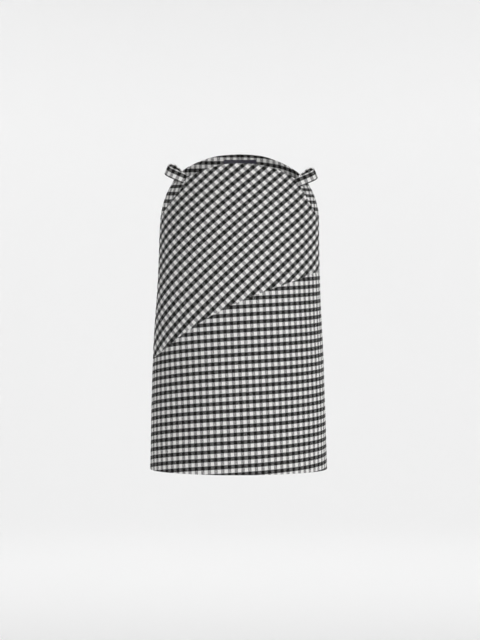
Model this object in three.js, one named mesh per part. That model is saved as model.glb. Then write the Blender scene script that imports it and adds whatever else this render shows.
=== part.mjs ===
// A checked knee-length skirt in the hollow form that it has when worn. Millimetres.
//
// +Z is up and the front faces -Y, so the wearer's left is +X. The origin is the middle of the
// waist opening, near the height of the top edge's low points over the hips.
//
// The body is a stack of rings. A place on it has an angle and a height: the angle runs round the
// ring, 0 at centre front, 90 at the wearer's left side and 180 at centre back.

import * as THREE from 'three';

// ---------------------------------------------------------------- driving sizes

const HEM_Z = -632; // the hem's edge
const CLOTH = 1.6; // wall of a panel
const FACING = 1.2; // wall of the facing inside the back
const SEAM_GAP = 0.3; // between two pieces at a seam
const LAYER_GAP = 0.5; // between a panel and a layer on its inside
const LABEL = { width: 76, height: 20, wall: 1, belowEdge: 13 };
const STRAP = { width: 21.5, wall: 2.2 };

// Rings: half the width, how far centre front and centre back stand from the side line, and how
// far the ring's middle is moved to the side, as the skirt hangs.
const RINGS = [
  { z: 76, half: 123.5, front: 86, back: 91, shift: 0 },
  { z: 40, half: 130.5, front: 88, back: 94, shift: 0 },
  { z: 20, half: 137.5, front: 90, back: 98, shift: 0 },
  { z: 4, half: 145, front: 92, back: 103, shift: 0 },
  { z: -7, half: 150.5, front: 93.5, back: 107, shift: 0 },
  { z: -24, half: 160, front: 96, back: 113, shift: 0 },
  { z: -42, half: 166.6, front: 98.5, back: 120, shift: 0 },
  { z: -59, half: 171, front: 100.5, back: 126, shift: 0 },
  { z: -77, half: 173.8, front: 102, back: 131, shift: -0.4 },
  { z: -112, half: 175, front: 104, back: 137, shift: -1.4 },
  { z: -165, half: 176.2, front: 106, back: 139, shift: -2.6 },
  { z: -235, half: 179.4, front: 109, back: 138.5, shift: -3.6 },
  { z: -306, half: 183.3, front: 112, back: 137.5, shift: -3.9 },
  { z: -376, half: 186.7, front: 114.5, back: 137, shift: -3.9 },
  { z: -447, half: 189.4, front: 116.5, back: 137, shift: -3.9 },
  { z: -517, half: 191.6, front: 118, back: 137.5, shift: -3.8 },
  { z: -580, half: 193, front: 119, back: 138, shift: -3.8 },
  { z: -640, half: 194.6, front: 120, back: 138.5, shift: -3.7 },
];

// The top edge from centre front round to centre back, on the wearer's left and right: lowest in
// front of the hip and highest at centre back.
const TOP_EDGE = [
  { deg: 0, left: 29.3, right: 29.3 },
  { deg: 14, left: 27.4, right: 27.4 },
  { deg: 24, left: 24, right: 22.6 },
  { deg: 37, left: 15.8, right: 14.8 },
  { deg: 46, left: 8, right: 7.6 },
  { deg: 56, left: -1, right: -1 },
  { deg: 66, left: -5.4, right: -5.4 },
  { deg: 78, left: -3, right: -2.4 },
  { deg: 90, left: 6.5, right: 8 },
  { deg: 108, left: 22.8, right: 27.4 },
  { deg: 125, left: 40.5, right: 43.7 },
  { deg: 141, left: 55.3, right: 57.1 },
  { deg: 155, left: 65.5, right: 66 },
  { deg: 168, left: 70, right: 70 },
  { deg: 180, left: 71.5, right: 71.5 },
];

// The seam between front and back, as an angle from centre front on the wearer's left and right:
// it leaves the top edge in front of the hip, curves out to the side and runs straight down it.
const SIDE_SEAM = [
  { z: 12, left: 54, right: 52.4 },
  { z: -2, left: 54.8, right: 52.4 },
  { z: -12, left: 56, right: 52.6 },
  { z: -22, left: 57.2, right: 53.4 },
  { z: -31, left: 58.2, right: 55.8 },
  { z: -40, left: 59.8, right: 59.4 },
  { z: -50, left: 62.4, right: 63.8 },
  { z: -59, left: 65.2, right: 68.4 },
  { z: -68, left: 69, right: 74 },
  { z: -76, left: 75, right: 79.6 },
  { z: -85, left: 82.4, right: 85.4 },
  { z: -97, left: 89.4, right: 90.3 },
  { z: -113, left: 92.2, right: 92.3 },
  { z: -140, left: 92.8, right: 92.8 },
  { z: -640, left: 92.8, right: 92.8 },
];

// The slanting seam across the front, from the wearer's right side up to the left.
const SLANT_SEAM = [
  { deg: -93, z: -392 },
  { deg: -80, z: -387.5 },
  { deg: -67, z: -376.5 },
  { deg: -50, z: -353 },
  { deg: -33, z: -322.5 },
  { deg: -16, z: -292 },
  { deg: 0, z: -267.5 },
  { deg: 16, z: -247.3 },
  { deg: 33, z: -229.5 },
  { deg: 50, z: -214.5 },
  { deg: 67, z: -203 },
  { deg: 80, z: -198 },
  { deg: 93, z: -196 },
];

// Soft folds of the hanging cloth. Each is a rounded trough, or a ridge where its depth is under
// 0, some degrees wide, that fades in from its top to its full depth at its foot.
const FOLDS = [
  { deg: -17, wide: 17, depth: -2.2, top: -330, foot: -600 },
  { deg: -44, wide: 20, depth: 2.4, top: -300, foot: -560 },
  { deg: 38, wide: 22, depth: 1.4, top: -380, foot: -620 },
  { deg: 128, wide: 18, depth: 2.2, top: -230, foot: -560 },
  { deg: 158, wide: 15, depth: -1.8, top: -260, foot: -600 },
  { deg: -131, wide: 20, depth: 2.4, top: -210, foot: -590 },
  { deg: -161, wide: 14, depth: -1.6, top: -280, foot: -600 },
];

// Where each loop's strap leaves the side seam, and how steeply it rises.
const LOOPS = [
  { name: 'loop_left', side: 1, x: 123.5, y: -57.4, z: -8.5, rise: 22.5 },
  { name: 'loop_right', side: -1, x: 118.8, y: -57.4, z: -0.8, rise: 23.6 },
];

// A loop's middle line, seen from above: out from the seam, round its end and back to its start.
// lift is what the back half rises above the front half.
const LOOP_LINE = [
  { out: 0, back: 0, lift: 0 },
  { out: 12, back: 0.2, lift: 0 },
  { out: 22, back: 1, lift: 0 },
  { out: 31, back: 4.2, lift: 0.5 },
  { out: 37.5, back: 9.2, lift: 2 },
  { out: 40, back: 15, lift: 5 },
  { out: 37, back: 20.5, lift: 8.5 },
  { out: 30.5, back: 21.5, lift: 11.5 },
  { out: 22.5, back: 16.5, lift: 10 },
  { out: 15, back: 9.5, lift: 6 },
  { out: 9, back: 4.8, lift: 3.4 },
  { out: 3.5, back: 3.3, lift: 1.5 },
];

// How finely the walls are divided. The first rows under the top edge lie at one step's depth
// each, and the facing covers the first four of them.
const FRONT_COLUMNS = 28;
const BACK_COLUMNS = 18;
const LABEL_COLUMNS = 6;
const EDGE_STEP = 12;
const EDGE_ROWS = 9;
const UPPER_ROWS = 14;
const LOWER_ROWS = 8;
const FACING_ROWS = 4;
const LABEL_ROWS = 2;
const LOOP_COLUMNS = 30;
const LOOP_ROWS = 2;

// ---------------------------------------------------------------- curves through the tables

const RAD = Math.PI / 180;
const blend = (a, b, t) => a + (b - a) * t;
const clamped = (t) => Math.min(Math.max(t, 0), 1);
const smoothStep = (t) => clamped(t) ** 2 * (3 - 2 * clamped(t));

// A smooth curve through two columns of a table: between two rows it is the cubic whose slope at
// each row is that between the row's neighbours.
function curve(rows, across, up) {
  const sorted = [...rows].sort((p, q) => p[across] - q[across]);
  const last = sorted.length - 1;
  const slopeAt = (i) => {
    const before = sorted[Math.max(i - 1, 0)];
    const after = sorted[Math.min(i + 1, last)];
    return (after[up] - before[up]) / (after[across] - before[across]);
  };
  return (x) => {
    if (x <= sorted[0][across]) return sorted[0][up];
    if (x >= sorted[last][across]) return sorted[last][up];
    const i = sorted.findIndex((row) => row[across] > x) - 1;
    const [from, to] = [sorted[i], sorted[i + 1]];
    const step = to[across] - from[across];
    const t = (x - from[across]) / step;
    const rise = to[up] - from[up];
    const leave = slopeAt(i) * step;
    const arrive = slopeAt(i + 1) * step;
    const bend = leave + arrive - 2 * rise;
    return from[up] + t * (leave + t * (rise - leave - bend + t * bend));
  };
}

const edgeRound = [
  ...TOP_EDGE.map(({ deg, left }) => ({ deg, z: left })),
  ...TOP_EDGE.slice(1).map(({ deg, right }) => ({ deg: -deg, z: right })),
];

const halfWidth = curve(RINGS, 'z', 'half');
const frontDepth = curve(RINGS, 'z', 'front');
const backDepth = curve(RINGS, 'z', 'back');
const sideShift = curve(RINGS, 'z', 'shift');
const topEdge = curve(edgeRound, 'deg', 'z');
const leftSeam = curve(SIDE_SEAM, 'z', 'left');
const rightSeam = curve(SIDE_SEAM, 'z', 'right');
const sideSeam = (side, z) => (side > 0 ? leftSeam(z) : rightSeam(z));
const slantSeam = curve(SLANT_SEAM, 'deg', 'z');

// ---------------------------------------------------------------- the body's face

// How far the soft folds push the cloth in.
function foldDepth(deg, z) {
  return FOLDS.reduce((sum, fold) => {
    const away = (((deg - fold.deg + 540) % 360) - 180) / fold.wide;
    const grown = smoothStep((fold.top - z) / (fold.top - fold.foot));
    return sum + fold.depth * grown * Math.exp(-away * away);
  }, 0);
}

function outerPoint(deg, z) {
  const angle = deg * RAD;
  const depth = Math.cos(angle) > 0 ? frontDepth(z) : backDepth(z);
  const fold = foldDepth(deg, z);
  return new THREE.Vector3(
    sideShift(z) + (halfWidth(z) - fold) * Math.sin(angle),
    -(depth - fold) * Math.cos(angle),
    z,
  );
}

// A point of the body, so far inside its outer face.
function bodyPoint(deg, z, inside) {
  const round = outerPoint(deg + 0.5, z).sub(outerPoint(deg - 0.5, z));
  const up = outerPoint(deg, z + 1).sub(outerPoint(deg, z - 1));
  const outward = round.cross(up).normalize();
  return outerPoint(deg, z).addScaledVector(outward, -inside);
}

const lengthOfDegree = (deg, z) => outerPoint(deg + 0.5, z).distanceTo(outerPoint(deg - 0.5, z));

// ---------------------------------------------------------------- seams

// Half a seam's gap, measured level or upright where the seam runs at a slope.
const halfGap = (slope) => (SEAM_GAP / 2) * Math.hypot(1, slope);

// The edge of a panel along a side seam. past is 1 behind the seam and -1 in front of it.
const alongSideSeam = (side, past) => (z) => {
  const deg = sideSeam(side, z);
  const length = lengthOfDegree(side * deg, z);
  const slope = ((sideSeam(side, z + 1) - sideSeam(side, z - 1)) / 2) * length;
  return side * (deg + (past * halfGap(slope)) / length);
};

const alongCentreBack = (side) => (z) => side * (180 - halfGap(0) / lengthOfDegree(180, z));

// The edge of a panel along the slanting seam. above is 1 over the seam and -1 under it.
const alongSlant = (above) => (deg) => {
  const rise = (slantSeam(deg + 1) - slantSeam(deg - 1)) / 2;
  return slantSeam(deg) + above * halfGap(rise / lengthOfDegree(deg, slantSeam(deg)));
};

// ---------------------------------------------------------------- walls

// A closed wall over a grid, with columns round the body and rows down it. place(u, row, layer)
// gives a point of the outer face (layer 0) or the inner face (layer 1), and u runs from 0 to 1.
function wall(columns, rows, place) {
  const positions = [];
  for (const layer of [0, 1]) {
    for (let row = 0; row <= rows; row++) {
      for (let i = 0; i <= columns; i++) positions.push(...place(i / columns, row, layer));
    }
  }
  const point = (layer, i, row) => (layer * (rows + 1) + row) * (columns + 1) + i;
  const faces = [];
  const quad = (a, b, c, d) => faces.push(a, b, c, a, c, d);
  for (let row = 0; row < rows; row++) {
    for (let i = 0; i < columns; i++) {
      quad(point(0, i, row), point(0, i, row + 1), point(0, i + 1, row + 1), point(0, i + 1, row));
      quad(point(1, i, row), point(1, i + 1, row), point(1, i + 1, row + 1), point(1, i, row + 1));
    }
    quad(point(0, 0, row), point(1, 0, row), point(1, 0, row + 1), point(0, 0, row + 1));
    quad(
      point(0, columns, row),
      point(0, columns, row + 1),
      point(1, columns, row + 1),
      point(1, columns, row),
    );
  }
  for (let i = 0; i < columns; i++) {
    quad(point(0, i, 0), point(0, i + 1, 0), point(1, i + 1, 0), point(1, i, 0));
    quad(point(0, i, rows), point(1, i, rows), point(1, i + 1, rows), point(0, i + 1, rows));
  }
  const geometry = new THREE.BufferGeometry();
  geometry.setAttribute('position', new THREE.Float32BufferAttribute(positions, 3));
  geometry.setIndex(faces);
  geometry.computeVertexNormals();
  return geometry;
}

// The place where an angle that depends on the height and a height that depends on the angle agree.
function settle(degAt, heightAt) {
  let z = HEM_Z / 2;
  for (let turn = 0; turn < 40; turn++) z = blend(z, heightAt(degAt(z)), 0.7);
  return { deg: degAt(z), z };
}

// A wall between two edges, each an angle for a height, whose rows are heights for an angle.
// inside is how far its outer face lies inside the body's.
function panel({ from, to, columns, rows, height, inside = 0, thick = CLOTH }) {
  return wall(columns, rows, (u, row, layer) => {
    const { deg, z } = settle(
      (level) => blend(from(level), to(level), u),
      (angle) => height(row, angle, u),
    );
    return bodyPoint(deg, z, inside + layer * thick).toArray();
  });
}

// ---------------------------------------------------------------- panels

const edgeRow = (row, deg) => topEdge(deg) - row * EDGE_STEP;

// The heights of the front's rows above and below an edge along the slanting seam.
const rowsAbove = (edge) => (row, deg) => {
  if (row <= EDGE_ROWS) return edgeRow(row, deg);
  return blend(edgeRow(EDGE_ROWS, deg), edge(deg), (row - EDGE_ROWS) / (UPPER_ROWS - EDGE_ROWS));
};
const rowsBelow = (edge) => (row, deg) => blend(edge(deg), HEM_Z, row / LOWER_ROWS);

const frontEdges = { from: alongSideSeam(-1, -1), to: alongSideSeam(1, -1) };

function upperFront() {
  const height = rowsAbove(alongSlant(1));
  return panel({ ...frontEdges, columns: FRONT_COLUMNS, rows: UPPER_ROWS, height });
}

function lowerFront() {
  const height = rowsBelow(alongSlant(-1));
  return panel({ ...frontEdges, columns: FRONT_COLUMNS, rows: LOWER_ROWS, height });
}

// What share of the way from the last edge row to the hem a row of the back lies at the side seam,
// so that it meets the front's rows there.
function shareAtSideSeam(side, row) {
  const above = rowsAbove(slantSeam);
  const below = rowsBelow(slantSeam);
  const heightOf = (deg) => (row <= UPPER_ROWS ? above(row, deg) : below(row - UPPER_ROWS, deg));
  const { deg, z } = settle((level) => side * sideSeam(side, level), heightOf);
  const start = edgeRow(EDGE_ROWS, deg);
  return (z - start) / (HEM_Z - start);
}

function backHalf(side, { rows = UPPER_ROWS + LOWER_ROWS, inside, thick } = {}) {
  const edges = [alongSideSeam(side, 1), alongCentreBack(side)];
  const [from, to] = side > 0 ? edges : edges.toReversed();
  const shares = Array.from({ length: rows + 1 }, (_, row) => ({
    atSide: shareAtSideSeam(side, row),
    atBack: (row - EDGE_ROWS) / (UPPER_ROWS + LOWER_ROWS - EDGE_ROWS),
  }));
  const height = (row, deg, u) => {
    if (row <= EDGE_ROWS) return edgeRow(row, deg);
    const { atSide, atBack } = shares[row];
    const share = blend(atSide, atBack, side > 0 ? u : 1 - u);
    return blend(edgeRow(EDGE_ROWS, deg), HEM_Z, share);
  };
  return panel({ from, to, columns: BACK_COLUMNS, rows, height, inside, thick });
}

// The facing lies on the back's inside and has the back's own columns and first rows.
const facing = (side) =>
  backHalf(side, { rows: FACING_ROWS, inside: CLOTH + LAYER_GAP, thick: FACING });

function label() {
  const top = topEdge(180) - LABEL.belowEdge;
  const half = LABEL.width / 2 / lengthOfDegree(180, top);
  return panel({
    from: () => 180 - half,
    to: () => 180 + half,
    columns: LABEL_COLUMNS,
    rows: LABEL_ROWS,
    height: (row) => top - (row / LABEL_ROWS) * LABEL.height,
    inside: CLOTH + FACING + 2 * LAYER_GAP,
    thick: LABEL.wall,
  });
}

// ---------------------------------------------------------------- loops

// A strap stood on edge and carried along the loop's middle line. Its width leans square to its
// rise, and its wall stands square to the line as seen from above.
function loop({ side, x, y, z, rise }) {
  const slope = Math.tan(rise * RAD);
  const line = new THREE.CatmullRomCurve3(
    LOOP_LINE.map(
      ({ out, back, lift }) => new THREE.Vector3(side * (x + out), y + back, z + out * slope + lift),
    ),
  );
  const widthways = new THREE.Vector3(-side * Math.sin(rise * RAD), 0, Math.cos(rise * RAD));
  return wall(LOOP_COLUMNS, LOOP_ROWS, (u, row, layer) => {
    const along = side > 0 ? u : 1 - u;
    const outward = line.getTangentAt(along).cross(widthways).multiplyScalar(side).normalize();
    return line
      .getPointAt(along)
      .addScaledVector(widthways, (0.5 - row / LOOP_ROWS) * STRAP.width)
      .addScaledVector(outward, (0.5 - layer) * STRAP.wall)
      .toArray();
  });
}

// ---------------------------------------------------------------- the skirt

const checkedCloth = new THREE.MeshStandardMaterial({ color: 0x858482, roughness: 0.9, metalness: 0 });
const labelCloth = new THREE.MeshStandardMaterial({ color: 0x2d2a3c, roughness: 0.7, metalness: 0 });

const skirt = new THREE.Group();

function add(name, geometry, material = checkedCloth) {
  const mesh = new THREE.Mesh(geometry, material);
  mesh.name = name;
  skirt.add(mesh);
}

add('front_upper', upperFront());
add('front_lower', lowerFront());
add('back_left', backHalf(1));
add('back_right', backHalf(-1));
add('back_facing_left', facing(1));
add('back_facing_right', facing(-1));
add('label', label(), labelCloth);
for (const row of LOOPS) add(row.name, loop(row));

export default skirt;
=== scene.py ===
# %% [markdown]
# # A checked skirt
#
# The skirt is cut from one cotton cloth, woven with black and white stripes both ways. It is shown
# filled out, as when it is worn, with nobody in it. The upper front is cut on the bias, so its checks
# stand on their corners. A slanting seam joins it to the lower front, whose checks lie level.
#
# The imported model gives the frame: every piece made here takes the place of one of its solids.

# %% Load the frame
import math
import bpy
import numpy as np
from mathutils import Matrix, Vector


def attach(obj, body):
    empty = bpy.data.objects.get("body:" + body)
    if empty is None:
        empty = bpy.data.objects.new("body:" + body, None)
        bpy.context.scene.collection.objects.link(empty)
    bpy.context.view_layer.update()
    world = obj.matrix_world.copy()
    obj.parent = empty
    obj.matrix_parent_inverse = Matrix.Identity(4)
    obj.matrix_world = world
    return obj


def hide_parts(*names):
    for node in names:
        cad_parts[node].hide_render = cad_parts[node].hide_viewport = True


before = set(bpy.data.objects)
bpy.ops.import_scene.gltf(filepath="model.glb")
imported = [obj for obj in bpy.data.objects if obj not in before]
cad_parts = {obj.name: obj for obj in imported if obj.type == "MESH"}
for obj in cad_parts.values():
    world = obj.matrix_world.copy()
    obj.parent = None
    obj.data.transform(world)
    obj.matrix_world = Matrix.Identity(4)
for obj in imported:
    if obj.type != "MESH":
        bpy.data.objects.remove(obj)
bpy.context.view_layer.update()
print("solids:", ", ".join(sorted(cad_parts)))

# %% [markdown]
# ## The form
#
# A filled-out skirt is a tube. It could be sculpted, or draped over a figure, but a tube that follows
# measured rings has the same true size every time, so the form is worked out from a short table of
# rings. A place on it has an angle round the ring (0 at centre front, 90 at the wearer's left side)
# and a height. The measures are in millimetres, and one factor turns them into Blender's metres.

# %% Measures of the form
MM = 0.001
HEM = -632.0

# half the width, the depths to front and back from the side line, and the ring's move sideways
RINGS = {
    "z": [76, 40, 20, 4, -7, -24, -42, -59, -77, -112, -165, -235, -306, -376, -447, -517,
          -580, -640],
    "half": [123.5, 130.5, 137.5, 145, 150.5, 160, 166.6, 171, 173.8, 175, 176.2, 179.4, 183.3, 186.7,
             189.4, 191.6, 193, 194.6],
    "front": [86, 88, 90, 92, 93.5, 96, 98.5, 100.5, 102, 104, 106, 109, 112, 114.5, 116.5, 118,
              119, 120],
    "back": [91, 94, 98, 103, 107, 113, 120, 126, 131, 137, 139, 138.5, 137.5, 137, 137, 137.5,
             138, 138.5],
    "shift": [0, 0, 0, 0, 0, 0, 0, 0, -0.4, -1.4, -2.6, -3.6, -3.9, -3.9, -3.9, -3.8, -3.8, -3.7],
}
TOP_EDGE = {
    "deg": [0, 14, 24, 37, 46, 56, 66, 78, 90, 108, 125, 141, 155, 168, 180],
    "left": [29.3, 27.4, 24, 15.8, 8, -1, -5.4, -3, 6.5, 22.8, 40.5, 55.3, 65.5, 70, 71.5],
    "right": [29.3, 27.4, 22.6, 14.8, 7.6, -1, -5.4, -2.4, 8, 27.4, 43.7, 57.1, 66, 70, 71.5],
}
SIDE_SEAM = {
    "z": [12, -2, -12, -22, -31, -40, -50, -59, -68, -76, -85, -97, -113, -140, -640],
    "left": [54, 54.8, 56, 57.2, 58.2, 59.8, 62.4, 65.2, 69, 75, 82.4, 89.4, 92.2, 92.8, 92.8],
    "right": [52.4, 52.4, 52.6, 53.4, 55.8, 59.4, 63.8, 68.4, 74, 79.6, 85.4, 90.3, 92.3, 92.8, 92.8],
}
SLANT_SEAM = {
    "deg": [-93, -80, -67, -50, -33, -16, 0, 16, 33, 50, 67, 80, 93],
    "z": [-392, -387.5, -376.5, -353, -322.5, -292, -267.5, -247.3, -229.5, -214.5, -203, -198, -196],
}
# a trough, or a ridge where its depth is under 0, that fades in from its top down to its foot
FOLDS = [
    {"deg": -17, "wide": 17, "depth": -2.2, "top": -330, "foot": -600},
    {"deg": -44, "wide": 20, "depth": 2.4, "top": -300, "foot": -560},
    {"deg": 38, "wide": 22, "depth": 1.4, "top": -380, "foot": -620},
    {"deg": 128, "wide": 18, "depth": 2.2, "top": -230, "foot": -560},
    {"deg": 158, "wide": 15, "depth": -1.8, "top": -260, "foot": -600},
    {"deg": -131, "wide": 20, "depth": 2.4, "top": -210, "foot": -590},
    {"deg": -161, "wide": 14, "depth": -1.6, "top": -280, "foot": -600},
]


def curve(table, across, up):
    """A smooth curve through two columns: between two rows it is the cubic whose slope at each row
    is the slope between that row's neighbours."""
    order = np.argsort(table[across])
    x = np.array(table[across], float)[order]
    y = np.array(table[up], float)[order]
    slope = np.empty_like(y)
    slope[1:-1] = (y[2:] - y[:-2]) / (x[2:] - x[:-2])
    slope[0] = (y[1] - y[0]) / (x[1] - x[0])
    slope[-1] = (y[-1] - y[-2]) / (x[-1] - x[-2])

    def value(q):
        q = np.clip(q, x[0], x[-1])
        i = np.clip(np.searchsorted(x, q, side="right") - 1, 0, len(x) - 2)
        step = x[i + 1] - x[i]
        t = (q - x[i]) / step
        rise = y[i + 1] - y[i]
        leave = slope[i] * step
        arrive = slope[i + 1] * step
        bend = leave + arrive - 2 * rise
        return y[i] + t * (leave + t * (rise - leave - bend + t * bend))

    return value


half_width = curve(RINGS, "z", "half")
front_depth = curve(RINGS, "z", "front")
back_depth = curve(RINGS, "z", "back")
side_shift = curve(RINGS, "z", "shift")
slant_seam = curve(SLANT_SEAM, "deg", "z")
left_seam = curve(SIDE_SEAM, "z", "left")
right_seam = curve(SIDE_SEAM, "z", "right")
edge_round = curve({
    "deg": [-deg for deg in TOP_EDGE["deg"][1:]] + TOP_EDGE["deg"],
    "z": TOP_EDGE["right"][1:] + TOP_EDGE["left"],
}, "deg", "z")


def top_edge(deg):
    """The height of the top edge for an angle, brought within half a turn of centre front."""
    return edge_round((deg + 180) % 360 - 180)


def smooth_step(t):
    """0 before 0, 1 after 1, and 3 t squared less 2 t cubed between them."""
    t = np.clip(t, 0, 1)
    return t * t * (3 - 2 * t)


print(f"{len(RINGS['z'])} rings, {2 * half_width(HEM):.0f} mm wide at the hem, {len(FOLDS)} folds")

# %% [markdown]
# ### Folds and the cloth's own unevenness
#
# A closely cut skirt hangs almost smooth. It has a few long soft folds that start under the hip and
# grow towards the hem, and a slow unevenness of under a millimetre that only shows where light
# grazes it. Both are sums of simple functions, so they cost no simulation and never cross a seam
# wrongly: neighbouring panels read the same function.

# %% The outer face
UNEVEN = [
    {"round": 5, "lean": 0.016, "turn": 0.4, "depth": 0.45},
    {"round": 8, "lean": -0.023, "turn": 2.1, "depth": 0.32},
    {"round": 13, "lean": 0.035, "turn": 4.4, "depth": 0.2},
]
HELD_TO = 20.0  # down to this height the seams hold the cloth flat
FREE_OVER = 140.0  # and this much further down it is free


def fold_depth(deg, z):
    """How far folds push the cloth in: a bell across each fold, times a smooth step down its length."""
    depth = np.zeros(np.broadcast(deg, z).shape)
    for fold in FOLDS:
        away = ((deg - fold["deg"] + 540) % 360 - 180) / fold["wide"]
        grown = smooth_step((fold["top"] - z) / (fold["top"] - fold["foot"]))
        depth = depth + fold["depth"] * grown * np.exp(-away * away)
    return depth


def unevenness(deg, z):
    """Slow waves that lean across the cloth, fading out near the top edge, where seams hold it."""
    turn = np.radians(deg)
    waves = sum(
        w["depth"] * np.sin(w["round"] * turn + w["lean"] * z + w["turn"]) for w in UNEVEN
    )
    return waves * smooth_step((HELD_TO - z) / FREE_OVER)


def outer(deg, z):
    """A point of the outer face, mm: an ellipse's point at that angle, on the ring at that height,
    with its half width and its front or back depth made less by the folds."""
    turn = np.radians(deg)
    depth = np.where(np.cos(turn) > 0, front_depth(z), back_depth(z))
    fold = fold_depth(deg, z) + unevenness(deg, z)
    x = side_shift(z) + (half_width(z) - fold) * np.sin(turn)
    y = -(depth - fold) * np.cos(turn)
    return np.stack(np.broadcast_arrays(x, y, z), axis=-1)


def body(deg, z, inside):
    """A point so many mm inside the outer face, along the face's own normal."""
    along = outer(deg + 0.5, z) - outer(deg - 0.5, z)
    up = outer(deg, z + 1) - outer(deg, z - 1)
    normal = np.cross(along, up)
    normal /= np.linalg.norm(normal, axis=-1, keepdims=True)
    return outer(deg, z) - normal * np.asarray(inside)[..., None]


def degree_length(deg, z):
    """mm of cloth in one degree of a ring there."""
    return np.linalg.norm(outer(deg + 0.5, z) - outer(deg - 0.5, z), axis=-1)


hip_girth = degree_length(np.arange(360.0), np.full(360, -165.0)).sum()
print(f"girth at the hip {hip_girth:.0f} mm")

# %% [markdown]
# ## A folded edge
#
# No panel of a real skirt ends at its seam. The cloth turns under there and lies flat inside: that
# allowance is what the seam is sewn through. The turn gives every seam its round lip and its narrow
# ditch, so each panel is drawn as a sheet that folds at its edges. A profile lists, from the raw end
# inside, round the fold and out onto the face, how far each line of points lies in from the edge,
# how deep it lies, and where it lay on the flat cloth before it was folded.

# %% Edge profiles
CLOTH = 0.7  # the cloth is thinner than the solid, which needs a wall that collides
LAYER = 0.8  # from one layer's middle to the next
ALLOWANCE = 12.0
HEM_TURN = 30.0
TUCK = {"layers": 2.1, "from": 5.5, "over": 6.5}  # how far an edge sinks under its neighbour, and where
EDGE_TURN = 3.0  # at the back's top edge, where the facing takes over
UNDER_STEP = 8.0  # mm between lines on a turned-in layer


def folded_edge(allowance, layers=1):
    """Rows of (inset, depth, flat) in mm. The middle of the cloth runs along the face, turns through
    a half circle whose width is the layers between, and runs back under."""
    bend = LAYER * layers / 2
    centre = CLOTH / 2 + bend
    turn = np.radians([75, 50, 25, 0, -25, -50, -75])
    under = np.linspace(allowance, centre, 3 + int(allowance / UNDER_STEP))
    deep = np.full(under.shape, CLOTH / 2 + 2 * bend)
    face = centre + np.array([0, 1.2, 3])
    near = np.full(face.shape, CLOTH / 2)
    quarter = bend * math.pi / 2
    return np.concatenate([
        np.stack([under, deep, centre - 2 * quarter - under], axis=1),
        np.stack([
            centre - bend * np.cos(turn),
            CLOTH / 2 + bend + bend * np.sin(turn),
            centre - quarter - bend * turn,
        ], axis=1),
        np.stack([face, near, face], axis=1),
    ])


def tucked_edge(allowance):
    """Rows of (inset, depth, flat) for an edge that runs on flat, under the fold of its neighbour:
    the face sinks by about two layers over the last few mm."""
    inset = np.array([-allowance, -allowance / 2, -3, -1.2, -0.2, 0.6, 1.4, 2.4, 3.6, 5.0, 7.0])
    sunk = TUCK["layers"] * LAYER * smooth_step((TUCK["from"] - inset) / TUCK["over"])
    return np.stack([inset, CLOTH / 2 + sunk, inset], axis=1)


print(f"folded edge: {len(folded_edge(ALLOWANCE))} lines, lip {CLOTH + LAYER:.2f} mm thick")

# %% [markdown]
# ## A panel
#
# A panel is a grid: columns run down the skirt and rows run round it. Each line of points is a share
# of the way across plus an inset from one edge. Where it meets a sloping edge, the angle depends on
# the height and the height on the angle, so both are settled by going round a few times, for the
# whole grid at once. Solving each point on its own would give the same, more slowly.

# %% Grids
FINE = 4.0  # mm between lines on the open cloth
ROUNDS = 16  # of settling angles and heights on each other
EASE = 0.7  # the share of each new height that is taken up in a round
PAST_FOLD = 2.0  # mm from an edge's profile to the first even line
CREASE = np.array([-3, -1.2, 0, 1.2, 3])  # mm: lines along a dart and beside it
CREASE_CLEAR = 5.0  # mm on each side of it with no even line
FAR = 1e3  # stands for no edge near
LEAST_MITRE = 0.08  # what a mitre leaves of an allowance


def lines_across(length, first, last, about=None):
    """Rows of (share, inset, depth, flat, end): the first edge's profile, even lines, and the last
    edge's profile backwards. end is 0 or 1 on an edge's own lines and -1 between them. A line runs
    along the share about, and two close ones on each side of it."""
    count = max(int(length / FINE), 4)
    start = first[-1, 0] + PAST_FOLD
    stop = last[-1, 0] + PAST_FOLD
    share = np.linspace(start / length, 1 - stop / length, count)
    if about is not None:
        share = share[np.abs(share - about) > CREASE_CLEAR / length]
        share = np.sort(np.concatenate([share, about + CREASE / length]))
    plain = np.zeros(len(share))
    middle = np.stack([share, plain, plain + CLOTH / 2, plain, plain - 1], axis=1)
    before = np.column_stack([np.zeros(len(first)), first, np.zeros(len(first))])
    after = np.column_stack([np.ones(len(last)), last * [-1, 1, -1], np.ones(len(last))])[::-1]
    return np.concatenate([before, middle, after])


def settle(columns, rows, edges, column_step, row_step, line=None):
    """Angles and heights of a grid. An angle is a share of the way between the side edges at its
    height, plus an inset in mm; a height is a share of the way from top to bottom at its angle,
    less an inset in mm. line is a share and the angle that its column keeps for each height: the
    other columns are then spread evenly on each side of it."""
    from_deg, to_deg, top, bottom = edges
    share_u = columns[None, :, 0]
    share_v = rows[:, None, 0]
    z = np.full((len(rows), len(columns)), HEM / 2)
    for _ in range(ROUNDS):
        left = from_deg(z)
        right = to_deg(z)
        at_edge = np.where(share_u > 0.5, right, left)
        if line is None:
            deg = left + (right - left) * share_u
        else:
            at, angle = line
            middle = angle(z)
            deg = np.where(
                share_u < at,
                left + (middle - left) * share_u / at,
                middle + (right - middle) * (share_u - at) / (1 - at),
            )
        deg = deg + column_step / degree_length(at_edge, z)
        high = top(deg)
        low = bottom(deg)
        z = z + EASE * (high + (low - high) * share_v - row_step - z)
    return deg, z


def mitre(step, room):
    """Insets made no longer than the room they have, but never less than a small share of each."""
    length = np.abs(step)
    return np.sign(step) * np.maximum(np.minimum(length, room), LEAST_MITRE * length)


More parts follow.
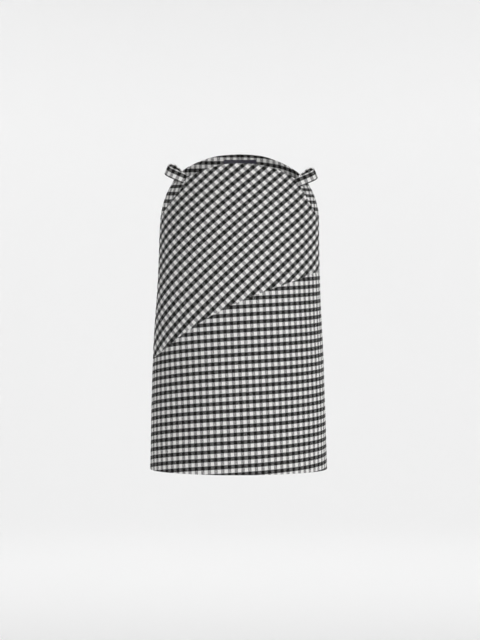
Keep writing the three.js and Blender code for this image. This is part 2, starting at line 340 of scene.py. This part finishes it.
def panel_grid(columns, rows, edges, mitred=(True, True), line=None):
    """Points and flat places of a folded sheet. A mitred end narrows the side allowances to nothing
    towards the corner, so that two turned edges never lie on each other."""
    column_step = np.repeat(columns[None, :, 1], len(rows), axis=0)
    row_step = np.repeat(rows[:, None, 1], len(columns), axis=1)
    from_side = np.where(columns[:, 4] < 0, FAR, np.abs(columns[:, 1]))[None, :]
    from_end = np.full(len(rows), FAR)
    for end, narrowed in enumerate(mitred):
        if narrowed:
            from_end = np.where(rows[:, 4] == end, np.abs(rows[:, 1]), from_end)
    from_end = from_end[:, None]
    side_turned = (columns[None, :, 2] > CLOTH / 2 + LAYER / 2) & (columns[None, :, 4] >= 0)
    end_turned = (rows[:, None, 2] > CLOTH / 2 + LAYER / 2) & (from_end < FAR)
    column_step = np.where(side_turned, mitre(column_step, from_end + CLOTH), column_step)
    row_step = np.where(end_turned, mitre(row_step, from_side + CLOTH), row_step)
    deg, z = settle(columns, rows, edges, column_step, row_step, line)
    flat_column = np.broadcast_to(columns[None, :, 3], deg.shape)
    flat_row = np.broadcast_to(rows[:, None, 3], deg.shape)
    flat = settle(columns, rows, edges, flat_column, flat_row, line)
    inside = (columns[None, :, 2] - CLOTH / 2) + (rows[:, None, 2] - CLOTH / 2) + CLOTH / 2
    return deg, z, inside, flat


print(f"lines {FINE:.0f} mm apart on the open cloth, settled in {ROUNDS} rounds")

# %% [markdown]
# ## From points to a piece
#
# Each grid becomes one mesh with a UV map, which says where on the flat cloth every corner lies. The
# cloth's thickness comes from Solidify, so the grid stays a single layer that is easy to fold.

# %% Meshes
def grid_faces(rows, columns):
    """The four-cornered faces of a grid of points, row by row."""
    index = np.arange(rows * columns).reshape(rows, columns)
    corners = [index[:-1, :-1], index[1:, :-1], index[1:, 1:], index[:-1, 1:]]
    return np.stack(corners, axis=-1).reshape(-1, 4)


def add_object(name, points, faces):
    """A smooth mesh through points in metres, put in the scene."""
    mesh = bpy.data.meshes.new(name)
    mesh.from_pydata(points.reshape(-1, 3), [], faces)
    mesh.polygons.foreach_set("use_smooth", np.ones(len(faces), bool))
    mesh.update()
    made = bpy.data.objects.new(name, mesh)
    bpy.context.collection.objects.link(made)
    return made


def set_cloth_uv(piece, uv):
    """The UV map of a piece, with a place on the cloth for each corner of each face."""
    layer = piece.data.uv_layers.new(name="cloth")
    layer.data.foreach_set("uv", uv.ravel())


def take_place(piece, node):
    """The piece takes the place of a solid: it rides the root body, and the solid is hidden."""
    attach(piece, "root")
    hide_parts(node)


def add_sheet(name, node, points, cloth_uv, thick, split=None):
    """One cloth piece: a grid of points in mm becomes a mesh in metres, with a UV map in repeats of
    the check, and Solidify gives it a wall, half to each side. split is the column where the UV map
    jumps, and the map to use from there on."""
    rows, columns = points.shape[:2]
    faces = grid_faces(rows, columns)
    piece = add_object(name, points * MM, faces)
    uv = cloth_uv.reshape(-1, 2)[faces.reshape(-1)]
    if split is not None:
        at_column, other_uv = split
        past = np.repeat((faces[:, 0] % columns) >= at_column, 4)
        uv = np.where(past[:, None], other_uv.reshape(-1, 2)[faces.reshape(-1)], uv)
    set_cloth_uv(piece, uv)
    wall = piece.modifiers.new("wall", "SOLIDIFY")
    wall.thickness = thick * MM
    wall.offset = 0.0
    wall.use_even_offset = False
    take_place(piece, node)
    print(f"{name}: {len(faces)} faces a side")
    return piece


print("helpers: grid_faces, add_object, set_cloth_uv, take_place, add_sheet")

# %% [markdown]
# ## How the cloth lies
#
# On a checked skirt the grain can be read off each panel. Two sets of bands cross on the cloth: the
# weft bands, 16.75 mm from one white band to the next, and the warp bands, 14.2 mm apart. For each
# panel a short line says how far apart the bands lie there, which way they follow each other, where
# they start, and how they bow as the cloth goes round the hip. The place of every point is measured
# along the cloth itself, never straight through the air, so the checks keep their size all round.

# %% Lengths along the cloth
PLACES, WEIGHTS = np.polynomial.legendre.leggauss(12)


def round_length(deg, z, start=0.0):
    """mm along the ring from the start angle to deg: the ring's speed, summed at Gauss points."""
    total = np.zeros(np.broadcast(deg, z).shape)
    for place, weight in zip(PLACES, WEIGHTS):
        at = start + (deg - start) * (place + 1) / 2
        total += weight / 2 * degree_length(at, z)
    return total * (deg - start)


def up_length(deg, z):
    """mm along the cloth from the hem up to the height z, at one angle."""
    total = np.zeros(np.broadcast(deg, z).shape)
    for place, weight in zip(PLACES, WEIGHTS):
        at = HEM + (z - HEM) * (place + 1) / 2
        total += weight / 2 * np.linalg.norm(outer(deg, at + 0.5) - outer(deg, at - 0.5), axis=-1)
    return total * (z - HEM)


print(f"centre front {up_length(0.0, top_edge(0.0)):.0f} mm long, ", end="")
print(f"centre back {up_length(180.0, top_edge(180.0)):.0f} mm")

# %% [markdown]
# ### The grain of each panel
#
# One weave serves all the panels, so only its place and slope differ from one to the next. On the
# bias panel both sets of bands slope at about 45 degrees. On a panel that is cut on grain the weft
# bands lie level and the warp bands stand upright. Small bows let them follow the hip.

# %% Bands of the check
# repeat in mm, toward in degrees from level, start and bows in repeats. The bows are for 100 mm
# across squared, across times up, up squared, and across cubed.
BIAS_WEFT = {"repeat": 17.05, "toward": -48.1, "start": 0.206, "bows": (0.044, -0.07, -0.081, -0.048)}
BIAS_WARP = {"repeat": 14.23, "toward": 44.4, "start": 0.602, "bows": (-0.069, -0.092, 0.062, -0.11)}
LOWER_WEFT = {"repeat": 16.77, "toward": -86.3, "start": 0.991, "bows": (-0.054, -0.006, 0.004, 0.03)}
LOWER_WARP = {"repeat": 14.22, "toward": 1.9, "start": 0.223, "bows": (0.085, 0.001, 0.011, 0.0)}
UPPER_MIDDLE = -130.0
LOWER_MIDDLE = -420.0


def bands(lie, across, up):
    """Repeats of the check at a place: its distance in the bands' direction over the repeat, and a
    low polynomial for the bow. A whole number is the middle of a white band."""
    toward = math.radians(lie["toward"])
    straight = (across * math.cos(toward) + up * math.sin(toward)) / lie["repeat"]
    s = across / 100
    t = up / 100
    across_squared, both, up_squared, across_cubed = lie["bows"]
    bow = across_squared * s * s + both * s * t + up_squared * t * t + across_cubed * s**3
    return lie["start"] + straight + bow


def front_check(warp, weft, middle):
    """A UV map of warp repeats and weft repeats, measured from centre front at a middle height."""

    def check(deg, z):
        across = round_length(deg, z)
        return np.stack([bands(warp, across, z - middle), bands(weft, across, z - middle)], axis=-1)

    return check


# %% [markdown]
# ## The fronts
#
# The upper front laps over the lower one: its edge is folded under and lies on the other's cloth.
# That small step catches the light and draws the slanting line. Its top edge is turned in as well.
# The lower front ends in a plain deep hem that is sewn up by hand from inside, so no stitch shows.

# %% The two fronts
UPPER_SIZE = {"wide": 350, "high": 320}  # mm, about: they set how many lines a panel has
LOWER_SIZE = {"wide": 360, "high": 370}
BACK_SIZE = {"wide": 250, "high": 680}


def centre_back(side):
    """The angle of a back half's edge at the centre back seam: half a turn, at every height."""
    return lambda z: np.full(np.shape(z), side * 180.0)


def side_edge(side):
    """The angle of a panel's edge along a side seam. Front and back share it, as sewn folds touch."""
    seam = left_seam if side > 0 else right_seam
    return lambda z: side * seam(z)


def hem_edge(deg):
    """The hem's height, level all round."""
    return np.full(np.shape(deg), HEM)


FRONT_EDGES = (side_edge(-1), side_edge(1))
seam_fold = folded_edge(ALLOWANCE)


def upper_front():
    """From the top edge to the slanting seam, all four edges folded."""
    columns = lines_across(UPPER_SIZE["wide"], seam_fold, seam_fold)
    rows = lines_across(UPPER_SIZE["high"], seam_fold, seam_fold)
    deg, z, inside, flat = panel_grid(columns, rows, (*FRONT_EDGES, top_edge, slant_seam))
    check = front_check(BIAS_WARP, BIAS_WEFT, UPPER_MIDDLE)
    points = body(deg, z, inside)
    return add_sheet(
        "upper_front_cloth", "front_upper", points, check(*flat), CLOTH
    )


def lower_front():
    """From under the slanting seam to the hem, whose turn lies over the side allowances."""
    columns = lines_across(LOWER_SIZE["wide"], seam_fold, seam_fold)
    hem_fold = folded_edge(HEM_TURN, layers=2)
    rows = lines_across(LOWER_SIZE["high"], tucked_edge(ALLOWANCE), hem_fold)
    edges = (*FRONT_EDGES, slant_seam, hem_edge)
    deg, z, inside, flat = panel_grid(columns, rows, edges, mitred=(False, False))
    check = front_check(LOWER_WARP, LOWER_WEFT, LOWER_MIDDLE)
    points = body(deg, z, inside)
    return add_sheet("lower_front_cloth", "front_lower", points, check(*flat), CLOTH)


upper = upper_front()
lower = lower_front()

# %% [markdown]
# ## The backs
#
# Woven cloth can't shrink from the hip to the waist, so each back half has a dart: a wedge folded out
# of sight and sewn down to a point. Below the point the cloth is in one piece and its columns hang
# straight. Above it the part beyond the dart turns back with the hip. Its columns lean and run into
# the dart's line, while the rows still meet there, as they do across a dart that was pinned to match.

# %% The two backs
DART = {
    "foot": -98.0, "foot_deg": 152.0,
    "top": 62.0, "top_deg": 146.5,
    "dip": 1.0, "half_width": 1.5, "dip_over": 25.0,  # mm: deep, wide, and down to its full depth
    "share": 0.6,  # of the way from the side seam to centre back
    "runs_on": 1.2,  # its line goes on past the top edge by a fifth
}
# white is where the first white band's middle lies, in mm above the hem or from centre back. spread
# is the share of a repeat in one forward of the side line, lean is in mm a mm of height, and lift
# is how far the rows rise beside the hip.
BACK_WEFT = {"white": 7.6, "repeat": 16.75}
BACK_WARP = {"repeat": 14.22, "spread": 0.94}
SIDE_PART = {
    "left": {"white": 7.3, "lean": 0.42, "lift": 10.0},
    "right": {"white": 0.2, "lean": 0.34, "lift": -1.0},
}
LEAN_FADES = {"from": 85, "over": 60, "by": 0.6}  # degrees round from centre front, and a share
LEAN_START = 40.0  # mm above the dart's foot over which the lean sets in
ROW_LIFT_OVER = 100.0  # mm above the dart's foot
ROW_TILT = {"a_degree": 0.17, "from": 65, "over": 60}  # mm, degrees round, mm above the foot
ROW_SWING = {"from": 140, "over": 45}  # degrees round: the dart's side, and back to the hip


def back_check(side, deg, z):
    """Warp and weft repeats for the two parts of a back half: beside the centre back, and beyond
    the dart. Beside it, columns count from centre back. Beyond it they count from the side line,
    plus a lean that grows above the dart's foot. The rows are level, but for a lift and a tilt
    that fade out from the hip to the dart."""
    part = SIDE_PART["left" if side > 0 else "right"]
    above = np.maximum(z - DART["foot"], 0)
    round_back = np.abs(deg)
    to_side = np.abs(round_length(side * 90.0 + 0 * deg, np.minimum(z, DART["foot"]), side * 180.0))
    ahead = -side * round_length(deg, z, side * 90.0)
    ahead = np.minimum(ahead, BACK_WARP["spread"] * ahead)
    fading = smooth_step((round_back - LEAN_FADES["from"]) / LEAN_FADES["over"])
    lean = part["lean"] * (1 - LEAN_FADES["by"] * fading)
    leaned = lean * above**2 / (above + LEAN_START)
    from_back = np.abs(round_length(deg, z, side * 180.0))
    warp = (from_back - part["white"]) / BACK_WARP["repeat"]
    warp_beyond = (to_side + ahead + leaned - part["white"]) / BACK_WARP["repeat"]
    lift = part["lift"] * smooth_step(above / ROW_LIFT_OVER) ** 2
    tilt = ROW_TILT["a_degree"] * (round_back - ROW_TILT["from"])
    tilt = tilt * smooth_step(above / ROW_TILT["over"])
    swing = (lift - tilt) * smooth_step((ROW_SWING["from"] - round_back) / ROW_SWING["over"])
    weft = (up_length(deg, z) + swing - BACK_WEFT["white"]) / BACK_WEFT["repeat"]
    return np.stack([warp, weft], axis=-1), np.stack([warp_beyond, weft], axis=-1)


def dart_line(side):
    """The dart's angle for a height: straight from the top edge to its foot, and on below it."""
    rise = DART["top"] - DART["foot"]
    turn = DART["foot_deg"] - DART["top_deg"]

    def angle(z):
        share = np.clip((z - DART["foot"]) / rise, 0, DART["runs_on"])
        return side * (DART["foot_deg"] - turn * share)

    return angle


def dart_dip(side, deg, z):
    """How far the cloth sinks into the dart's seam: a narrow bell across its line, down to its foot."""
    away = (deg - dart_line(side)(z)) * degree_length(deg, z) / DART["half_width"]
    return DART["dip"] * np.exp(-away * away) * smooth_step((z - DART["foot"]) / DART["dip_over"])


def back_half(side, name, node):
    """From the side seam to centre back. One column runs along the dart's line, and there the UV map
    jumps from one part to the other."""
    edges = [side_edge(side), centre_back(side)]
    at = DART["share"]
    if side < 0:
        edges = edges[::-1]
        at = 1 - at
    rows = lines_across(BACK_SIZE["high"], folded_edge(EDGE_TURN), folded_edge(HEM_TURN, layers=2))
    columns = lines_across(BACK_SIZE["wide"], seam_fold, seam_fold, about=at)
    line = (at, dart_line(side))
    deg, z, inside, flat = panel_grid(columns, rows, (*edges, top_edge, hem_edge), (True, False), line)
    points = body(deg, z, inside + dart_dip(side, deg, z))
    beside, beyond = back_check(side, *flat)
    first, second = (beyond, beside) if side > 0 else (beside, beyond)
    dart_column = int(np.argmin(np.abs(columns[:, 0] - at)))
    return add_sheet(
        name, node, points, first, CLOTH, split=(dart_column, second)
    )


back_left = back_half(1, "back_left_cloth", "back_left")
back_right = back_half(-1, "back_right_cloth", "back_right")

# %% [markdown]
# ## The back facing and its label
#
# The back's top edge is finished with a facing: a strip of the same cloth, cut to the edge's curve,
# sewn along it and turned inside. It shows above the front's edge, which is lower. A plain dark woven
# label is sewn to it across the centre back seam, and it is left bare.

# %% Facing and label
FACING_INSIDE = 2.1  # mm, under the back's outer face
FACING_WALL = 1.2
FACING_DEEP = 48.0
FACING_BELOW = 0.5  # the top edge
FACING_START = 30.0  # the height that settling starts from
FACING_WEFT = {"white": 44.0, "repeat": 16.0}  # the height of a white band's middle
FACING_WARP = {"dark": 4.7, "repeat": 15.3}  # mm from centre back to a dark band's middle
FACING_DROP = {"left": {"mm": 20.4, "over": 58}, "right": {"mm": 3.2, "over": 45}}  # over degrees
FACING_LINES = {"across": 60, "down": 16, "rounds": 40}
LABEL = {"wide": 76.0, "deep": 20.0, "below": 13.0, "inside": 3.8, "wall": 0.8}
LABEL_LINES = {"across": 40, "down": 12}


def facing(side, name, node):
    """A strip on the back's inside, whose rows drop away from centre back with the square of the
    angle, more on the left side, where the strip was cut further off the grain."""
    edges = [side_edge(side), centre_back(side)]
    if side < 0:
        edges = edges[::-1]
    share = np.linspace(0, 1, FACING_LINES["across"])[None, :]
    down = np.linspace(0, 1, FACING_LINES["down"])[:, None]
    z = np.full((FACING_LINES["down"], FACING_LINES["across"]), FACING_START)
    for _ in range(FACING_LINES["rounds"]):
        deg = edges[0](z) + (edges[1](z) - edges[0](z)) * share
        z = z + EASE * (top_edge(deg) - FACING_BELOW - FACING_DEEP * down - z)
    away = 180 - np.abs(deg)
    curved = FACING_DROP["left" if side > 0 else "right"]
    drop = curved["mm"] * (away / curved["over"]) ** 2
    weft = (z + drop - FACING_WEFT["white"]) / FACING_WEFT["repeat"]
    from_back = np.abs(round_length(deg, z, side * 180.0))
    warp = (from_back - FACING_WARP["dark"]) / FACING_WARP["repeat"] + 0.5
    points = body(deg, z, FACING_INSIDE + FACING_WALL / 2 + 0 * deg)
    return add_sheet(name, node, points, np.stack([warp, weft], axis=-1), FACING_WALL)


def label_strip():
    """A short level strip across centre back."""
    top = float(top_edge(180.0)) - LABEL["below"]
    half = LABEL["wide"] / 2 / float(degree_length(180.0, np.array(top)))
    round_back = np.linspace(180 - half, 180 + half, LABEL_LINES["across"])
    heights = top - LABEL["deep"] * np.linspace(0, 1, LABEL_LINES["down"])
    deg, z = np.meshgrid(round_back, heights)
    points = body(deg, z, LABEL["inside"] + LABEL["wall"] / 2 + 0 * deg)
    uv = np.stack([round_length(deg, z, 180.0) * MM, z * MM], axis=-1)
    return add_sheet("label_cloth", "label", points, uv, LABEL["wall"])


facing_left = facing(1, "back_facing_left_cloth", "back_facing_left")
facing_right = facing(-1, "back_facing_right_cloth", "back_facing_right")
label = label_strip()

# %% [markdown]
# ## The loops
#
# A strap of the same cloth is folded lengthwise, pressed flat and caught in each side seam as a loop.
# It stands on its edge and opens to the back. Its section is a flat rounded band, carried along a
# curve through a few listed points.

# %% Loops
# where each strap leaves its seam, mm, how many degrees it rises, and how far along it and up from
# its middle a white warp band and a dark weft band lie, mm
LOOPS = [
    {
        "name": "loop_left", "side": 1, "x": 123.5, "y": -57.4, "z": -8.5, "rise": 22.5,
        "warp": 11.2, "weft": 4.2,
    },
    {
        "name": "loop_right", "side": -1, "x": 118.8, "y": -57.4, "z": -0.8, "rise": 23.6,
        "warp": 8.6, "weft": 4.4,
    },
]
# the strap's middle line from there: out to the side, towards the back, and up
LOOP_LINE = {
    "out": [0, 12, 22, 31, 37.5, 40, 37, 30.5, 22.5, 15, 9, 3.5],
    "back": [0, 0.2, 1, 4.2, 9.2, 15, 20.5, 21.5, 16.5, 9.5, 4.8, 3.3],
    "lift": [0, 0, 0, 0.5, 2, 5, 8.5, 11.5, 10, 6, 3.4, 1.5],
}
STRAP_WIDTH = 21.5
STRAP_THICK = 2.2
STRAP_ROUND = {"across": 0.55, "deep": 0.45}  # powers: 1 gives an ellipse, 0 a box
STRAP_LINES = {"along": 90, "round": 40}
STRAP_REPEAT = {"warp": 14.2, "weft": 16.75}


def strap_loop(loop):
    """A closed band: round the section goes a flattened circle (its sine and cosine raised to small
    powers), and along the line each section stands square to it, its width leaning with the rise."""
    side = loop["side"]
    slope = math.tan(math.radians(loop["rise"]))
    out = np.array(LOOP_LINE["out"])
    way = np.stack([
        side * (loop["x"] + out),
        loop["y"] + np.array(LOOP_LINE["back"]),
        loop["z"] + out * slope + np.array(LOOP_LINE["lift"]),
    ], axis=1)
    chord = np.concatenate([[0], np.cumsum(np.linalg.norm(np.diff(way, axis=0), axis=1))])
    along = np.linspace(0, chord[-1], STRAP_LINES["along"])
    line = np.stack([
        curve({"at": chord, "v": way[:, axis]}, "at", "v")(along) for axis in range(3)
    ], axis=1)
    tangent = np.gradient(line, axis=0)
    rise = math.radians(loop["rise"])
    wide = np.array([-side * math.sin(rise), 0, math.cos(rise)])
    outward = np.cross(tangent, wide) * side
    outward /= np.linalg.norm(outward, axis=1, keepdims=True)
    turn = np.linspace(0, 2 * math.pi, STRAP_LINES["round"] + 1)
    cosine = np.cos(turn)
    sine = np.sin(turn)
    across = np.sign(cosine) * np.abs(cosine) ** STRAP_ROUND["across"] * STRAP_WIDTH / 2
    deep = np.sign(sine) * np.abs(sine) ** STRAP_ROUND["deep"] * STRAP_THICK / 2
    points = line[:, None, :] + across[None, :, None] * wide
    points = points + deep[None, :, None] * outward[:, None, :]
    return along, across, points


def add_loop(loop):
    """The band's mesh: the section closes on itself, and a cap of one face ends it each way."""
    along, across, points = strap_loop(loop)
    points = points[:, :-1]
    rows, columns = points.shape[:2]
    index = np.arange(rows * columns).reshape(rows, columns)
    after = np.roll(index, -1, axis=1)
    quads = np.stack([index[:-1], index[1:], after[1:], after[:-1]], axis=-1).reshape(-1, 4)
    if loop["side"] > 0:
        quads = quads[:, ::-1]
    caps = [index[0].tolist(), index[-1].tolist()[::-1]]
    if loop["side"] < 0:
        caps = [cap[::-1] for cap in caps]
    faces = quads.tolist() + caps
    piece = add_object(loop["name"] + "_cloth", points * MM, faces)
    warp = np.repeat((along[:, None] - loop["warp"]) / STRAP_REPEAT["warp"], columns, axis=1)
    weft = np.repeat((across[None, :-1] - loop["weft"]) / STRAP_REPEAT["weft"] + 0.5, rows, axis=0)
    uv = np.stack([warp, weft], axis=-1).reshape(-1, 2)
    set_cloth_uv(piece, uv[np.concatenate(faces)])
    take_place(piece, loop["name"])
    print(f"{piece.name}: strap {along[-1]:.0f} mm long")
    return piece


loops = [add_loop(loop) for loop in LOOPS]

# %% [markdown]
# ## The cloth's finish
#
# Gingham is a plain weave of black and white yarns, in equal bands both ways. Where black crosses
# black it is black, white on white is white, and where they mix each shows half hidden under the
# other. The weft is beaten in closely and covers more, so bands of black weft look darker than bands
# of black warp. The finish is worked out yarn by yarn from the UV map, which counts repeats.

# %% Helpers for colours and nodes
def linear(hex_colour):
    """sRGB hex to linear RGBA: each channel over 12.92 when dark, and a power of 2.4 when not."""
    value = np.array([int(hex_colour[i:i + 2], 16) for i in (0, 2, 4)]) / 255
    channel = np.where(value <= 0.04045, value / 12.92, ((value + 0.055) / 1.055) ** 2.4)
    return (*channel.tolist(), 1.0)


def node(tree, kind, settings=None, **inputs):
    """Adds a node, sets its properties, and links or sets its inputs, by name or by number."""
    made = tree.nodes.new(kind)
    for key, value in (settings or {}).items():
        setattr(made, key, value)
    for key, value in inputs.items():
        socket = made.inputs[int(key[1:])] if key[0] == "_" else made.inputs[key.replace("_", " ")]
        if isinstance(value, bpy.types.NodeSocket):
            tree.links.new(value, socket)
        else:
            socket.default_value = value
    return made


def maths(tree, operation, *values):
    """The output of one Math node."""
    inputs = {f"_{number}": value for number, value in enumerate(values)}
    return node(tree, "ShaderNodeMath", {"operation": operation}, **inputs).outputs[0]


print("mid grey 808080 is", round(linear("808080")[0], 3), "in linear light")

# %% Gingham
BLACK_YARN = "1A1918"
WHITE_YARN = "F2F1F0"
ENDS = 14  # yarns drawn in one repeat: real ones are likely half as wide, too fine to show
SLUB = 0.5  # how much a thick place in a yarn covers, against the weave's own ups and downs
BAND_HALF = 0.25  # repeats from a band's middle to its edge
BAND_EDGE = 0.015  # repeats over which that edge fades, each way
# how high the weft rides over the warp, and how much more where only the weft is black
WEFT_COVER = {"level": 0.26, "swing": 0.40}
YARN_EDGE = 0.25  # how softly one yarn gives way to the other


def gingham():
    """Two counts of repeats give the bands, and two counts of yarns give the weave."""
    material = bpy.data.materials.new("woven cotton gingham")
    material.use_nodes = True
    tree = material.node_tree
    shader = tree.nodes["Principled BSDF"]
    place = node(tree, "ShaderNodeUVMap", {"uv_map": "cloth"})
    parts = node(tree, "ShaderNodeSeparateXYZ", _0=place.outputs[0])
    band = []
    yarn = []
    for count in (parts.outputs[0], parts.outputs[1]):
        centred = maths(tree, "PINGPONG", count, 0.5)
        step = node(tree, "ShaderNodeMapRange", {"interpolation_type": "SMOOTHSTEP"}, Value=centred)
        step.inputs["From Min"].default_value = BAND_HALF - BAND_EDGE
        step.inputs["From Max"].default_value = BAND_HALF + BAND_EDGE
        band.append(step.outputs[0])
        turned = maths(tree, "MULTIPLY", count, math.pi * ENDS)
        yarn.append(maths(tree, "SINE", turned))
    over = maths(tree, "MULTIPLY", yarn[0], yarn[1])
    slubs = []
    for stretch in ((ENDS, 1.5, 1.0), (1.5, ENDS, 1.0)):
        drawn = node(tree, "ShaderNodeMapping", Vector=place.outputs[0], Scale=stretch)
        slub = node(tree, "ShaderNodeTexNoise", Vector=drawn.outputs[0], Scale=1.0, Detail=1.0)
        slubs.append(slub.outputs[0])
    uneven = maths(tree, "SUBTRACT", slubs[0], slubs[1])
    mixed = maths(tree, "SUBTRACT", band[1], band[0])
    level = maths(tree, "MULTIPLY_ADD", mixed, WEFT_COVER["swing"], WEFT_COVER["level"])
    lifted = maths(tree, "ADD", maths(tree, "MULTIPLY_ADD", uneven, SLUB, over), level)
    weft_on_top = node(tree, "ShaderNodeMapRange", Value=lifted)
    weft_on_top.inputs["From Min"].default_value = -YARN_EDGE
    weft_on_top.inputs["From Max"].default_value = YARN_EDGE
    warp_on_top = maths(tree, "SUBTRACT", 1.0, weft_on_top.outputs[0])
    warp_dark = maths(tree, "MULTIPLY", band[0], warp_on_top)
    weft_dark = maths(tree, "MULTIPLY", band[1], weft_on_top.outputs[0])
    dark = maths(tree, "ADD", warp_dark, weft_dark)
    colour = node(tree, "ShaderNodeMix", {"data_type": "RGBA"}, _0=dark)
    colour.inputs[6].default_value = linear(WHITE_YARN)
    colour.inputs[7].default_value = linear(BLACK_YARN)
    tree.links.new(colour.outputs[2], shader.inputs["Base Color"])
    bump = node(tree, "ShaderNodeBump", Height=maths(tree, "ABSOLUTE", over))
    bump.inputs["Strength"].default_value = 0.25
    bump.inputs["Distance"].default_value = 0.0002
    tree.links.new(bump.outputs[0], shader.inputs["Normal"])
    shader.inputs["Roughness"].default_value = 0.9
    shader.inputs["Sheen Weight"].default_value = 0.04
    shader.inputs["Sheen Roughness"].default_value = 0.5
    shader.inputs["Specular IOR Level"].default_value = 0.2
    return material


cloth_finish = gingham()
for piece in [upper, lower, back_left, back_right, facing_left, facing_right, *loops]:
    piece.data.materials.append(cloth_finish)
print(f"{cloth_finish.name}: {len(cloth_finish.node_tree.nodes)} nodes, {ENDS} yarns in a repeat")

# %% [markdown]
# ### The label's finish
#
# A woven label is a narrow satin ribbon. Its fine polyester warp floats over several picks, which
# gives short ribs across the ribbon and a soft sheen along them. The ribs are real height in the
# bump, and painted shade darkens their grooves in the colour. They are drawn 0.9 mm apart, some
# three times the true pitch.

# %% Label finish
RIB_PITCH = 0.0009
LABEL_YARN = "27233C"
# painted shade: the darker colour laid into the grooves between the ribs
LABEL_PAINTED_GROOVE_SHADE = "16131F"


def label_weave():
    """Ribs are a sine across the strip, and each float starts half a step after its neighbour."""
    material = bpy.data.materials.new("woven polyester label")
    material.use_nodes = True
    tree = material.node_tree
    shader = tree.nodes["Principled BSDF"]
    place = node(tree, "ShaderNodeUVMap", {"uv_map": "cloth"})
    parts = node(tree, "ShaderNodeSeparateXYZ", _0=place.outputs[0])
    across = maths(tree, "MULTIPLY", parts.outputs[0], 2 * math.pi / RIB_PITCH)
    along = maths(tree, "MULTIPLY", parts.outputs[1], math.pi / RIB_PITCH)
    ribs = maths(tree, "SINE", maths(tree, "ADD", across, along))
    mottle = node(tree, "ShaderNodeTexNoise", Vector=place.outputs[0], Scale=260.0, Detail=2.0)
    # the colour follows the ribs, so the grooves get painted shade, plus a random mottle of tone
    high = maths(tree, "MULTIPLY_ADD", ribs, 0.3, mottle.outputs[0])
    colour = node(tree, "ShaderNodeMix", {"data_type": "RGBA"}, _0=high)
    colour.inputs[6].default_value = linear(LABEL_PAINTED_GROOVE_SHADE)
    colour.inputs[7].default_value = linear(LABEL_YARN)
    tree.links.new(colour.outputs[2], shader.inputs["Base Color"])
    bump = node(tree, "ShaderNodeBump", Height=ribs)
    bump.inputs["Strength"].default_value = 0.3
    bump.inputs["Distance"].default_value = 0.0001
    tree.links.new(bump.outputs[0], shader.inputs["Normal"])
    shader.inputs["Roughness"].default_value = 0.45
    shader.inputs["Sheen Weight"].default_value = 0.1
    shader.inputs["Anisotropic"].default_value = 0.4
    return material


label.data.materials.append(label_weave())
print(f"ribs {RIB_PITCH / MM:.1f} mm apart on {label.name}")

# %% [markdown]
# ## Floor, light and camera
#
# Clothes are shown against a plain pale sweep, so that only the cloth carries pattern. The sweep is a
# round bowl of matt paint, which gives the same ground from every side. Four lamps above the skirt
# light the bowl's wall, and one large soft lamp in front, a little to the right, models the folds.

# %% Stage
BOWL = {"floor": -1.4, "flat": 4.0, "bend": 2.5, "wide": 6.5, "high": 5.5}  # metres


def studio_bowl():
    """A round studio floor that curves up into a wall all round, open at the top, in one sheet: a
    profile of radius and height, turned about the middle."""
    bend = np.linspace(0, math.pi / 2, 17)
    curved = BOWL["flat"] + BOWL["bend"] * np.sin(bend)
    rising = BOWL["bend"] * (1 - np.cos(bend))
    radius = np.concatenate([[0.0, BOWL["flat"] / 2], curved, [BOWL["wide"]]])
    height = np.concatenate([[0.0, 0.0], rising, [BOWL["high"]]]) + BOWL["floor"]
    turn = np.linspace(0, 2 * math.pi, 97)
    x = radius[:, None] * np.cos(turn)
    y = radius[:, None] * np.sin(turn)
    points = np.stack(np.broadcast_arrays(x, y, height[:, None]), axis=-1)
    bowl = add_object("studio_bowl", points, grid_faces(*points.shape[:2]))
    material = bpy.data.materials.new("matt studio paint")
    material.use_nodes = True
    shader = material.node_tree.nodes["Principled BSDF"]
    shader.inputs["Base Color"].default_value = linear("F2F2F2")
    shader.inputs["Roughness"].default_value = 0.9
    bowl.data.materials.append(material)


# name, right or left, back or front, watts
WALL_LAMPS = [
    ("wall_back_left", -1, 1, 78),
    ("wall_back_right", 1, 1, 76),
    ("wall_front_left", -1, -1, 31),
    ("wall_front_right", 1, -1, 38),
]
KEY = {"place": (1.6, -3.3, 0.3), "aim": (0, 0, -0.4), "size": 1.6, "watts": 42.2}
WALL_PLACE = (1.9, 1.7, 2.2)  # right, back and up, m
WALL_AIM = (1.4, 5.9, -1.0)
WALL_SIZE = 2.0
ROOM_LIGHT = 0.245
EYE = (-0.0002, -2.8, -0.3049)  # in front of the skirt's middle, looking level
LENS = 71.6  # mm
SENSOR = 36.0


def area_light(name, place, aim, size, power):
    """A square soft light that looks from its place at its aim."""
    lamp = bpy.data.lights.new(name, "AREA")
    lamp.shape = "SQUARE"
    lamp.size = size
    lamp.energy = power
    lit = bpy.data.objects.new(name, lamp)
    bpy.context.collection.objects.link(lit)
    lit.location = place
    lit.rotation_euler = (Vector(aim) - Vector(place)).to_track_quat("-Z", "Y").to_euler()


studio_bowl()
area_light("key", KEY["place"], KEY["aim"], KEY["size"], KEY["watts"])
for name, right, back, power in WALL_LAMPS:
    place = (WALL_PLACE[0] * right, WALL_PLACE[1] * back, WALL_PLACE[2])
    aim = (WALL_AIM[0] * right, WALL_AIM[1] * back, WALL_AIM[2])
    area_light(name, place, aim, WALL_SIZE, power)
world = bpy.data.worlds.new("soft room")
world.use_nodes = True
world.node_tree.nodes["Background"].inputs[0].default_value = linear("FFFFFF")
world.node_tree.nodes["Background"].inputs[1].default_value = ROOM_LIGHT
bpy.context.scene.world = world
bpy.context.scene.view_settings.view_transform = "Standard"

camera = bpy.data.cameras.new("camera")
camera.lens = LENS
camera.sensor_width = SENSOR
eye = bpy.data.objects.new("camera", camera)
bpy.context.collection.objects.link(eye)
eye.location = EYE
eye.rotation_euler = (math.pi / 2, 0, 0)
bpy.context.scene.camera = eye
print(f"lamps: {1 + len(WALL_LAMPS)}, camera {-EYE[1]:.1f} m in front, lens {LENS:.1f} mm")
